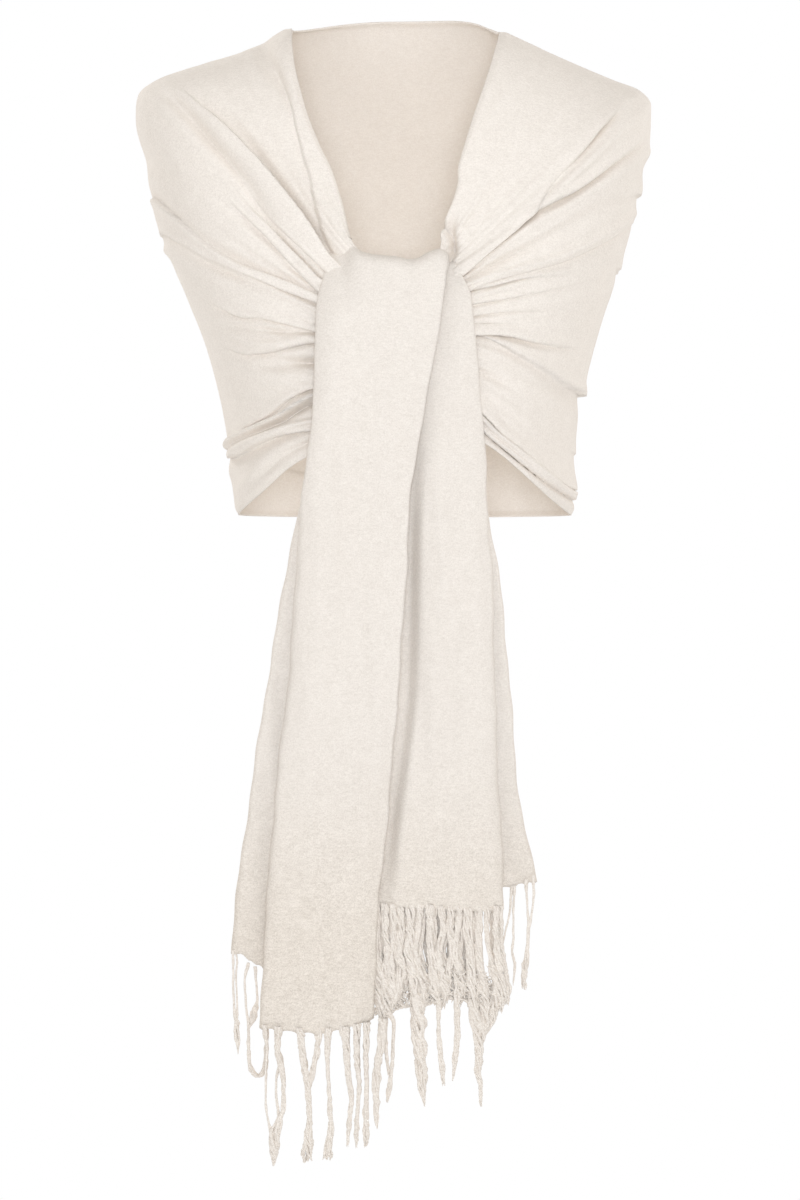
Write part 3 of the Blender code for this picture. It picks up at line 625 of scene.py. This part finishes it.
# Each strand is a line of places down it: x, how far below the origin, and half its width. The first
# number is the layer of the tail that it hangs from, 0 in front.
STRAND_COLUMNS = ("place", "x", "down", "half")
LEFT_STRANDS = (
    # the wing
    (2.5, (-126, 742, 1), (-126, 762, 0.8), (-125, 790, 0.9), (-123, 800, 2.2), (-123, 808, 2.7),
     (-122, 822, 0.5)),
    (2.6, (-124, 743, 0.8), (-123, 751, 0.7), (-124, 762, 0.6), (-123, 780, 0.6), (-123, 797, 1.2)),
    (2.5, (-114, 752, 1.4), (-117, 766, 0.8), (-116, 785, 0.8), (-114, 803, 1.2), (-114, 826, 1.6),
     (-111, 837, 2.7), (-106, 841, 3), (-101, 834, 2.3), (-100, 817, 1.6), (-99, 800, 1.3)),
    (2.6, (-109, 755, 1.4), (-108, 768, 0.8), (-107, 781, 0.9), (-109, 788, 2.7), (-110, 795, 2.8),
     (-114, 803, 1.2)),
    # the front layer
    (0, (-101, 799, 2.4), (-99, 818, 1.2), (-100, 838, 0.7), (-100, 858, 0.7), (-98, 874, 0.9),
     (-95, 884, 2)),
    (0, (-90, 800, 4.2), (-91, 816, 2.4), (-88, 832, 2.7), (-86, 846, 1.7), (-86, 861, 2),
     (-90, 874, 2.7), (-93, 884, 4.9), (-93, 896, 4.6), (-94, 907, 1)),
    (0.2, (-89, 828, 1.4), (-92, 846, 0.8), (-91, 860, 1.1), (-90, 871, 1.6)),
    (0, (-73, 801, 4.2), (-72, 815, 2.8), (-70, 830, 3), (-67, 850, 2.5), (-66, 869, 2.2),
     (-66, 882, 3.4), (-67, 894, 4.6), (-68, 904, 5.4)),
    (0.2, (-59, 801, 3.2), (-60, 820, 2.4), (-63, 834, 2.6), (-66, 848, 2)),
    (0, (-51, 801, 3.8), (-52, 822, 2), (-51, 843, 1.3), (-50, 860, 1.8), (-49, 877, 2.3),
     (-51, 890, 3.4), (-52, 903, 5)),
    (0, (-38, 800, 4.4), (-37, 822, 2.7), (-35, 843, 2.3), (-33, 858, 2.1), (-35, 874, 2),
     (-36, 892, 1.2)),
    (0, (-29, 798, 3.4), (-29, 822, 2.6), (-27, 846, 1.9), (-28, 861, 1.6), (-29, 877, 2),
     (-29, 893, 1.8)),
    (0, (-21, 797, 3.4), (-22, 822, 2.3), (-21, 846, 1.6), (-22, 866, 2.6), (-21, 881, 3),
     (-22, 893, 2)),
    (0, (-9, 794, 4), (-10, 815, 3.4), (-13, 833, 3.4), (-14, 849, 3), (-14, 864, 2.6), (-13, 878, 1)),
)
RIGHT_STRANDS = (
    (0, (-14, 704, 4.1), (-14, 726, 3.7), (-15, 742, 3.7), (-13, 757, 4.9), (-11, 776, 5),
     (-8, 800, 3.2), (-6, 822, 1.4), (-4, 838, 1.2)),
    (0, (-7, 705, 4.1), (-7, 726, 3.3), (-5, 742, 3.3), (-6, 757, 4.4), (-7, 776, 4.8), (-5, 790, 4),
     (0, 800, 1.4), (-1, 826, 1.5), (-2, 838, 1.6), (-4, 851, 2.6), (-5, 859, 1.6)),
    (0, (-1, 705, 3.9), (0, 726, 3.3), (-1, 742, 2.9), (-2, 754, 3.9), (-1, 770, 4.8), (1, 785, 4)),
    (0, (5, 706, 3.7), (6, 724, 3.3), (4, 742, 3.8), (6, 757, 4.4), (3, 773, 4.2), (-3, 788, 3.4)),
    (0, (13, 706, 4.1), (13, 726, 3.5), (11, 742, 3.8), (14, 757, 4.6), (17, 773, 5), (19, 788, 6.4),
     (20, 812, 5.9), (21, 829, 5.3), (22, 846, 3.8), (24, 862, 0.9)),
    (0, (21, 706, 3.7), (19, 726, 2.8), (17, 742, 2.8), (19, 757, 3.7), (23, 768, 4.4),
     (23, 784, 4.4)),
    (0, (29, 706, 3.7), (28, 726, 3.3), (29, 742, 3.3), (31, 757, 4.6), (32, 771, 5.6), (35, 783, 3),
     (35, 795, 1.7), (36, 817, 2), (38, 836, 2.3), (39, 846, 1.7)),
    (0, (37, 707, 3.4), (39, 726, 3.3), (35, 742, 3.3), (37, 757, 4.1), (40, 771, 5), (37, 782, 3)),
    (0, (45, 707, 3.9), (44, 726, 3.7), (46, 742, 3.7), (43, 757, 3.5), (42, 775, 3)),
    (0, (51, 707, 3.7), (50, 726, 2.8), (48, 742, 3.3), (50, 757, 3.7), (52, 773, 4.8), (49, 784, 2.6),
     (50, 803, 2.3), (49, 820, 2.6), (46, 842, 0.8)),
    (0, (58, 708, 3.7), (58, 726, 3.7), (59, 742, 3.8), (60, 757, 4.4), (62, 776, 4.6), (63, 792, 5.2),
     (67, 807, 4.8), (67, 823, 4.2), (66, 836, 3), (68, 848, 1.6), (68, 862, 2)),
    (0.1, (66, 708, 3.7), (67, 726, 2.8), (67, 742, 3.3), (68, 757, 3.9), (71, 776, 4.2),
     (71, 795, 4.6), (68, 811, 3.4)),
    (0.2, (73, 708, 3.2), (73, 726, 2.1), (75, 745, 2.1), (79, 760, 4), (81, 776, 5.6), (79, 788, 4.6),
     (73, 801, 3.8), (68, 812, 3)),
    (0, (80, 707, 2.9), (80, 726, 2.8), (81, 745, 3.3), (84, 760, 3.2), (86, 773, 3.5),
     (84, 789, 2.4)),
    # the wing
    (2.6, (93, 692, 1.4), (91, 714, 0.7), (88, 727, 0.7), (84, 744, 0.7)),
    (2.5, (95, 692, 1.2), (94, 714, 0.8), (94, 732, 0.8), (93, 744, 0.8), (95, 754, 1.2),
     (94, 769, 0.8)),
    (2.5, (104, 687, 1.6), (105, 708, 0.7), (106, 725, 1.2), (105, 742, 1.6), (103, 757, 3),
     (102, 772, 2.4)),
    (2.5, (110, 684, 1.6), (110, 702, 0.8), (108, 717, 0.8), (106, 730, 0.8)),
)
RING_STEP = 3  # along a yarn, coarse enough for each fringe to stay under 200,000 triangles
LEAST_RINGS = 8
YARN_SIDES = 5
# What a yarn is in a strand of no width, and what each millimetre of the strand's half width adds.
YARN_RADIUS = (0.42, 0.2)
YARN_TURN = (11, 9)  # length of one turn round the strand
YARN_COUNT = (4, 2.2)
LEAST_YARNS, MOST_YARNS = 4, 14
WINDING = 2.4  # radians from one yarn to the next
ANY_REACH = 1000  # longer than any strand
# Hidden strands lie behind those in front: the layer, how far to their right, and the reach. They are
# thinner, and end at uneven heights.
LEFT_HIDDEN = ((0.4, 0, 62), (1.2, 0, 54), (2.2, 0, 46))
RIGHT_HIDDEN = ((0.4, 3.8, 77), (1.2, -2.6, 74), (2.2, 0.5, 60))
HIDDEN_FULLNESS, UNEVEN = 0.8, 5
# The right fringe is felted together half way down.
FELT_LEFT, FELT_RIGHT, FELT_TOP = -17, 87, -748
FELT_YARNS, FELT_POINTS = 420, 12
FELT_FOOT = (
    ("x", "foot"),
    (-20, -792), (-6, -793), (6, -787), (20, -786), (34, -783), (46, -780), (56, -782), (70, -796),
    (80, -790), (90, -780),
)


def for_width(sizes, half):
    """One of the sizes above, in a strand of a given half width."""
    return sizes[0] + sizes[1] * half


def yarn_tube(line, radius):
    """Points and faces of a tube round a line that runs more or less down the sheet's plane."""
    way = unit(np.gradient(line, axis=0))
    first = unit(np.cross(way, (0, 1, 0)))
    second = np.cross(way, first)
    angle = np.linspace(0, 2 * pi, YARN_SIDES, endpoint=False)[None, :, None]
    ring = np.cos(angle) * first[:, None] + np.sin(angle) * second[:, None]
    points = line[:, None] + radius[:, None, None] * ring
    index = np.arange(len(line) * YARN_SIDES).reshape(len(line), YARN_SIDES)
    turned = np.roll(index, -1, axis=1)
    faces = np.stack([index[:-1], turned[:-1], turned[1:], index[1:]], -1).reshape(-1, 4)
    return points.reshape(-1, 3), faces


def strand_yarns(rows, y, seed, reach, fullness):
    """The yarns of one strand. They wind round its line, and part where the strand is thick."""
    draw = np.random.default_rng(seed)
    table = (STRAND_COLUMNS, *((k, *row) for k, row in enumerate(rows)))
    spans = [np.hypot(b[0] - a[0], b[1] - a[1]) for a, b in zip(rows, rows[1:], strict=False)]
    passed = np.concatenate([[0], np.cumsum(spans)])
    length = min(passed[-1], reach)
    rings = np.linspace(0, length, max(LEAST_RINGS, int(length / RING_STEP)))
    place = np.interp(rings, passed, range(len(rows)))
    x, below, half = (smooth(table, name, place) for name in STRAND_COLUMNS[1:])
    half = half * fullness
    down = np.linspace(0, 1, len(place))
    turn = np.cumsum(2 * pi * length / len(place) / for_width(YARN_TURN, half))
    count = int(np.clip(for_width(YARN_COUNT, half.max()) * fullness, LEAST_YARNS, MOST_YARNS))
    own = for_width(YARN_RADIUS, half)
    for k in range(count):
        spread = np.sqrt((k + 0.6) / count) * np.maximum(half - 0.75 * own, 0.12)
        angle = turn + WINDING * k + 0.6 * waves(down * 3, 0 * down, seed * 31 + k, 5)
        wander = (0.10 + 0.09 * half) * waves(down * length / 22, 0 * down, seed * 17 + k, 6)
        line = np.stack([x + spread * np.cos(angle) + wander, y + 0.7 * spread * np.sin(angle), -below], -1)
        line[:, 2] -= draw.uniform(-2, 2.5) * down**6
        rough = 1 + 0.16 * waves(down * length / 7, 0 * down, seed * 13 + k, 6)
        yield yarn_tube(line, own * rough * (1 - 0.7 * down**24))


def felt_yarns(y):
    """Short curled yarns that cross between the strands and end at the felt's own foot line."""
    draw = np.random.default_rng(5)
    way = np.linspace(0, 1, FELT_POINTS)
    for k in range(FELT_YARNS):
        x = draw.uniform(FELT_LEFT, FELT_RIGHT)
        foot = smooth(FELT_FOOT, "foot", np.array([x]))[0]
        z = foot + (FELT_TOP - foot) * draw.beta(1.2, 1.9)
        heading = draw.choice((-pi / 4, -3 * pi / 4)) + draw.normal(0, 0.45)
        bend = draw.normal(0, 1.1) * way + 0.7 * waves(way * 2, 0 * way, 900 + k, 6)
        step = draw.uniform(12, 24) / len(way)
        across = x + step * np.cumsum(np.cos(heading + bend))
        down = z + step * np.cumsum(np.sin(heading + bend))
        across = FELT_LEFT + np.abs(across - FELT_LEFT)
        across = FELT_RIGHT - np.abs(FELT_RIGHT - across)
        foot = smooth(FELT_FOOT, "foot", across)
        down = np.where(down < foot, foot + 0.5 * (foot - down), down)
        depth = y + draw.uniform(-2, 5) + waves(way * 2, 0 * way, 1200 + k, 5)
        thinned = 1 - 0.6 * np.abs(2 * way - 1) ** 4  # at both ends
        yield yarn_tube(np.stack([across, depth, down], -1), draw.uniform(0.4, 0.85) * thinned)


def fringe_object(name, strands, hidden, table, y, material, felted=False):
    """All strands of a fringe in one mesh: those listed, and behind them those of the hidden layers."""
    points, faces, start = [], [], 0
    drawn = [(layer, 0, rows, ANY_REACH, 1.0) for layer, *rows in strands]
    for layer, *rows in strands:
        for behind, shift, reach in hidden if layer == 0 else ():
            drawn.append((behind, shift, rows, reach + rows[0][0] % UNEVEN, HIDDEN_FULLNESS))
    tubes = []
    for seed, (layer, shift, rows, reach, fullness) in enumerate(drawn, len(strands)):
        gap = smooth(table, "gap", np.array([-rows[0][1]]))[0]
        moved = [(x + shift, *row) for x, *row in rows]
        tubes += strand_yarns(moved, y + gap * layer, seed, reach, fullness)
    if felted:
        tubes += felt_yarns(y)
    for tube, quads in tubes:
        points.append(tube)
        faces.append(quads + start)
        start += len(tube)
    return mesh_object(name, np.concatenate(points), np.concatenate(faces), [material])


# ---- meshes and materials ----


def add_object(name, data):
    made = bpy.data.objects.new(name, data)
    bpy.context.scene.collection.objects.link(made)
    return made


def mesh_object(name, points, faces, materials):
    mesh = bpy.data.meshes.new(name)
    mesh.from_pydata((points * MM).tolist(), [], faces.tolist())
    mesh.shade_smooth()
    for item in materials:
        mesh.materials.append(item)
    return add_object(name, mesh)


def grid_object(name, points, materials):
    """Cloth with a thickness. A second material goes on its inner side."""
    rows, columns = points.shape[:2]
    index = np.arange(rows * columns).reshape(rows, columns)
    quads = np.stack([index[:-1, :-1], index[:-1, 1:], index[1:, 1:], index[1:, :-1]], -1).reshape(-1, 4)
    made = mesh_object(name, points.reshape(-1, 3), quads, materials)
    layer = made.data.uv_layers.new(name="cloth")
    uv = cloth_lengths(points).reshape(-1, 2)[quads.reshape(-1)]
    layer.uv.foreach_set("vector", uv.astype(np.float32).ravel())
    wall = made.modifiers.new("wall", "SOLIDIFY")
    wall.thickness = CLOTH * MM
    wall.offset = 0
    wall.use_even_offset = False
    wall.material_offset = len(materials) - 1
    return made


def cloth_lengths(points):
    """Mean distances over the cloth in metres, along and across it, from the grid's first corner."""
    passed = []
    for axis in (1, 0):
        steps = np.linalg.norm(np.diff(points, axis=axis), axis=-1).mean(1 - axis)
        passed.append(np.concatenate([[0], np.cumsum(steps)]))
    return np.stack(np.meshgrid(*passed), -1) * MM


def set_inputs(node, values):
    for name, value in values.items():
        node.inputs[name].default_value = value


def add_node(tree, kind, values=()):
    node = tree.nodes.new("ShaderNode" + kind)
    set_inputs(node, dict(values))
    return node


FIBRES, STREAKS, MOTTLE = 0.58, 0.3, 0.12  # what each adds to the grain
LOW_END_FROM, LOW_END_TO = -0.56, -0.76  # heights between which the tails turn darker and more speckled, in metres
# Shares of the cloth's two colours that are left towards the tails' ends.
LOW_END_LIGHT = (0.99, 0.975, 0.95)
LOW_END_DARK = (0.86, 0.835, 0.8)
FACTOR, FIRST_COLOUR, SECOND_COLOUR, MIXED_COLOUR = 0, 6, 7, 2  # sockets of a mix of colours


def cloth_material(name, light, dark, ends=1.0):
    """Brushed cloth: a speckle of fibres with faint streaks across. Towards the tails' ends it turns darker
    and more speckled.
    """
    made = bpy.data.materials.new(name)
    made.use_nodes = True
    tree = made.node_tree
    link = tree.links.new
    shader = tree.nodes["Principled BSDF"]
    set_inputs(shader, {"Roughness": 0.92, "Specular IOR Level": 0.15, "Sheen Weight": 0.25})
    set_inputs(shader, {"Sheen Roughness": 0.45, "Sheen Tint": (1, 0.97, 0.93, 1)})
    place = add_node(tree, "TexCoord")

    def noise(scale, detail, rough, stretch=(1, 1, 1)):
        stretched = add_node(tree, "Mapping", {"Scale": stretch})
        node = add_node(tree, "TexNoise", {"Scale": scale, "Detail": detail, "Roughness": rough})
        link(place.outputs["Object"], stretched.inputs["Vector"])
        link(stretched.outputs["Vector"], node.inputs["Vector"])
        return node.outputs["Fac"]

    def combined(operation, first, second, third=0.0):
        node = add_node(tree, "Math")
        node.operation = operation
        for socket, value in zip(node.inputs, (first, second, third), strict=True):
            if isinstance(value, float):
                socket.default_value = value
            else:
                link(value, socket)
        return node.outputs[0]

    streaks = combined("MULTIPLY", noise(620, 2, 0.6, (0.4, 1, 1)), STREAKS)
    mottle = noise(90, 3, 0.6)
    grain = combined("MULTIPLY_ADD", noise(1000, 2, 0.75), FIBRES, streaks)
    grain = combined("MULTIPLY_ADD", mottle, MOTTLE, grain)
    height = add_node(tree, "SeparateXYZ")
    link(place.outputs["Object"], height.inputs[0])
    low_end = add_node(tree, "MapRange", {"From Min": LOW_END_FROM, "From Max": LOW_END_TO, "To Max": ends})
    low_end.interpolation_type = "SMOOTHSTEP"
    link(height.outputs["Z"], low_end.inputs["Value"])

    def shades(low, high, pale, deep):
        node = add_node(tree, "ValToRGB")
        for end, at, colour in zip(node.color_ramp.elements, (low, high), (deep, pale), strict=True):
            end.position = at
            end.color = (*colour, 1)
        link(grain, node.inputs["Fac"])
        return node.outputs["Color"]

    low_end_light = tuple(share * part for share, part in zip(LOW_END_LIGHT, light, strict=True))
    low_end_dark = tuple(share * part for share, part in zip(LOW_END_DARK, dark, strict=True))
    mixed = add_node(tree, "Mix")
    mixed.data_type = "RGBA"
    link(low_end.outputs["Result"], mixed.inputs[FACTOR])
    link(shades(0.35, 0.65, light, dark), mixed.inputs[FIRST_COLOUR])
    link(shades(0.36, 0.62, low_end_light, low_end_dark), mixed.inputs[SECOND_COLOUR])
    link(mixed.outputs[MIXED_COLOUR], shader.inputs["Base Color"])
    bump = add_node(tree, "Bump", {"Strength": 0.6, "Distance": 0.0007})
    link(grain, bump.inputs["Height"])
    link(bump.outputs["Normal"], shader.inputs["Normal"])
    return made


# ---- the scene ----

CHEST = (0, -0.1, -0.3)
WHITE = (1, 1, 1)
LAMPLIGHT = (1, 0.93, 0.8)
# Name, place, what it points at, diameter, power and colour. The camera sees none of them.
LIGHTS = (
    ("front", (0.02, -4, -0.35), CHEST, 0.9, 62, (0.817, 0.896, 1)),
    ("key", (-2, -1.9, 1), CHEST, 1, 4, WHITE),
    ("top", (0.4, -1.3, 2), CHEST, 1.2, 13, (0.902, 0.951, 1)),
    ("fill", (2.2, -2, 0.4), CHEST, 1.6, 4, WHITE),
    ("inside", (0, -0.07, -0.2), (0, 0.1, -0.22), 0.22, 0.026, LAMPLIGHT),
    ("inside_left", (0.05, -0.06, -0.08), (-0.09, 0.03, -0.08), 0.12, 0.02, LAMPLIGHT),
    ("inside_low", (0, -0.04, -0.36), (0, 0.09, -0.36), 0.16, 0.018, LAMPLIGHT),
    ("inside_right", (-0.04, -0.06, -0.15), (0.07, 0.03, -0.17), 0.12, 0.014, LAMPLIGHT),
    ("back_left", (-2, 2.6, 1.3), CHEST, 1.4, 50, WHITE),
    ("back_right", (2.4, 2.2, 0.6), CHEST, 1.6, 30, WHITE),
)
FLOOR_Z, FLOOR_RADIUS = -1.35, 30
GLOW_FROM, GLOW_TO = 0.6, 2.4  # the floor fades to plain white between these distances


def add_lights():
    for name, place, target, size, power, colour in LIGHTS:
        light = bpy.data.lights.new(name, "AREA")
        light.shape = "DISK"
        light.size = size
        light.energy = power
        light.color = colour
        lamp = add_object(name, light)
        lamp.location = place
        lamp.rotation_mode = "QUATERNION"
        lamp.rotation_quaternion = (Vector(target) - Vector(place)).to_track_quat("-Z", "Y")
        lamp.visible_camera = False


def add_world():
    """White to the camera, and a warm soft light to the cloth."""
    world = bpy.data.worlds.new("studio")
    bpy.context.scene.world = world
    world.use_nodes = True
    tree = world.node_tree
    tree.nodes.clear()
    link = tree.links.new
    out = add_node(tree, "OutputWorld")
    mix = add_node(tree, "MixShader")
    path = add_node(tree, "LightPath")
    lit = add_node(tree, "Background", {"Color": (1, 0.94, 0.87, 1), "Strength": 0.5})
    seen = add_node(tree, "Background", {"Color": (1, 1, 1, 1), "Strength": 1})
    link(path.outputs["Is Camera Ray"], mix.inputs[0])
    link(lit.outputs[0], mix.inputs[1])
    link(seen.outputs[0], mix.inputs[2])
    link(mix.outputs[0], out.inputs["Surface"])


def add_floor():
    """A pale floor that glows plain white further out."""
    bpy.ops.mesh.primitive_circle_add(
        vertices=96, radius=FLOOR_RADIUS, fill_type="NGON", location=(0, 0, FLOOR_Z)
    )
    floor = bpy.context.object
    floor.name = "floor"
    pale = bpy.data.materials.new("pale_floor")
    pale.use_nodes = True
    tree = pale.node_tree
    link = tree.links.new
    shader = tree.nodes["Principled BSDF"]
    set_inputs(shader, {"Base Color": (0.86, 0.86, 0.86, 1), "Roughness": 0.9})
    glow = add_node(tree, "Emission", {"Color": (1, 1, 1, 1), "Strength": 1})
    place = add_node(tree, "TexCoord")
    length = add_node(tree, "VectorMath")
    length.operation = "LENGTH"
    far = add_node(tree, "MapRange", {"From Min": GLOW_FROM, "From Max": GLOW_TO})
    mix = add_node(tree, "MixShader")
    link(place.outputs["Object"], length.inputs[0])
    link(length.outputs["Value"], far.inputs["Value"])
    link(far.outputs["Result"], mix.inputs[0])
    link(shader.outputs[0], mix.inputs[1])
    link(glow.outputs[0], mix.inputs[2])
    link(mix.outputs[0], tree.nodes["Material Output"].inputs["Surface"])
    floor.data.materials.append(pale)


def add_camera():
    data = bpy.data.cameras.new("camera")
    data.lens = 120
    data.sensor_width = 36
    camera = add_object("camera", data)
    camera.location = (0.0049, -3.28, -0.4674)
    camera.rotation_euler = (pi / 2, 0, 0)
    bpy.context.scene.camera = camera


def place_piece(piece, slot, *nodes):
    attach(piece, "root")
    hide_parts(*nodes)


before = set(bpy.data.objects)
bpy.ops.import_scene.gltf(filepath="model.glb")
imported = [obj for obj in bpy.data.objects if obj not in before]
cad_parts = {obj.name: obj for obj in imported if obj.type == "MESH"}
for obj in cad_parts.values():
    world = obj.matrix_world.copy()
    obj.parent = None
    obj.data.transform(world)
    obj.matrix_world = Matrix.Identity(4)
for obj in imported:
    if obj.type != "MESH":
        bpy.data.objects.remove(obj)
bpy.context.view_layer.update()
bpy.context.scene.view_settings.view_transform = "Standard"
add_camera()
add_world()
add_floor()
add_lights()

# The wrap's and the tails' copies of the cloth differ only in light: the tails' copy is painted darker, as
# painted shade, since the tails face the lamps more squarely.
CREAM = cloth_material("cream_cloth", (0.895, 0.832, 0.762), (0.732, 0.668, 0.6))
TAILS_PAINTED_SHADE = cloth_material("cream_tails_painted_shade", (0.845, 0.784, 0.717), (0.697, 0.636, 0.57))
# A lighter copy of the cloth's colour, painted light, for the wrap's inner side and the bunch behind the
# flap, which lie in shade.
SHADED_CLOTH_PAINTED_LIGHT = cloth_material("cream_shaded_painted_light", (0.9, 0.84, 0.775), (0.8, 0.73, 0.66))
STRAND = cloth_material("cream_strands", (0.92, 0.857, 0.785), (0.68, 0.61, 0.535), ends=0.0)

wrap = grid_object("wrap", wrap_points(), [CREAM, SHADED_CLOTH_PAINTED_LIGHT])
place_piece(wrap, "cloth", "back", "front_left", "front_right")

places = layer_places(per_layer=44, per_turn=6)
falls = np.linspace(0, 1, TAIL_ROWS)[:, None]
ends = foot_heights(LEFT_FOOT, LEFT_TAIL, places, LEFT_STRANDS)
z = KNOT_TOP_Z + (ends - KNOT_TOP_Z) * falls
left = np.concatenate([over_knot(LEFT_TAIL, places), hanging(LEFT_TAIL, places, LEFT_TAIL_Y, z)])
left[..., 1] += turned_back(LEFT_TAIL, left[..., 0], left[..., 2])
left = shaped_flap(left)
tail_left = grid_object("tail_left_cloth", left, [TAILS_PAINTED_SHADE])
place_piece(tail_left, "cloth", "tail_left")

ends = foot_heights(RIGHT_FOOT, RIGHT_TAIL, places, RIGHT_STRANDS)
z = RIGHT_TOP_Z + (ends - RIGHT_TOP_Z) * falls
right = leaning(hanging(RIGHT_TAIL, places, RIGHT_TAIL_Y, z))
right[..., 1] += valley(right[..., 0], right[..., 2])
tail_right = grid_object("tail_right_cloth", right, [TAILS_PAINTED_SHADE])
place_piece(tail_right, "cloth", "tail_right")

knot = grid_object("knot_cloth", bunch_points(), [SHADED_CLOTH_PAINTED_LIGHT])
place_piece(knot, "cloth", "knot")

fringe_left = fringe_object("fringe_left_strands", LEFT_STRANDS, LEFT_HIDDEN, LEFT_TAIL, LEFT_TAIL_Y, STRAND)
place_piece(fringe_left, "fringe", "fringe_left")

fringe_right = fringe_object(
    "fringe_right_strands", RIGHT_STRANDS, RIGHT_HIDDEN, RIGHT_TAIL, RIGHT_TAIL_Y, STRAND, felted=True
)
place_piece(fringe_right, "fringe", "fringe_right")
